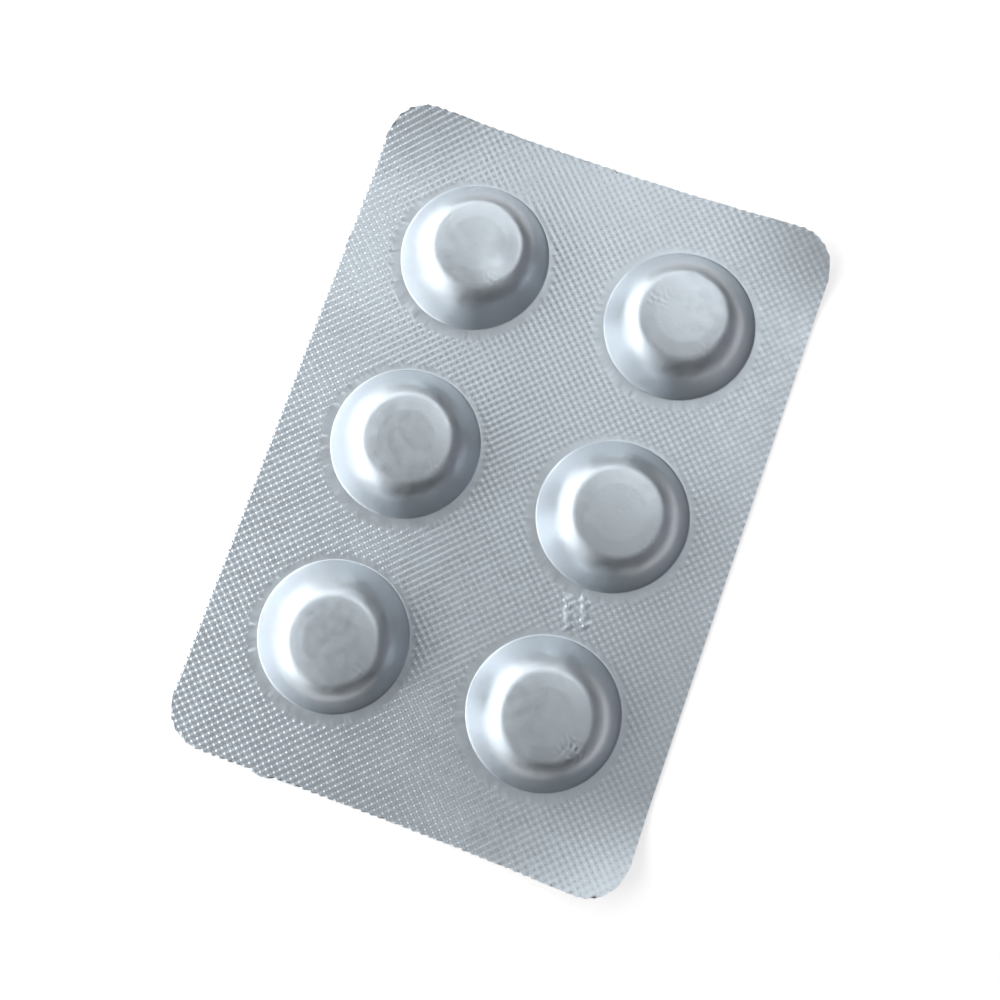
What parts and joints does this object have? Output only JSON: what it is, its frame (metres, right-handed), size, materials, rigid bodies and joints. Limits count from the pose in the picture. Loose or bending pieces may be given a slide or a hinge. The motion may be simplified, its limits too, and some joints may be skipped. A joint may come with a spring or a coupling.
{
  "type": "foil blister pack of tablets",
  "caption": "Cold-formed aluminium foil blister pack: a thin rounded card with raised round flat-topped pockets, sealed all round, corners slightly curled",
  "frame": {"origin": "on the flat back of the card, in the middle of its outline", "axes": "+X across the card, +Y up the card along its long side, +Z out of the pockets"},
  "size_m": [0.0616, 0.0896, 0.0057],
  "materials": {
    "foil": "satin cold-formed foil with a fine sealed knurl between the pockets"
  },
  "bodies": {
    "root": {"blister_pack": "foil"}
  },
  "joints": []
}
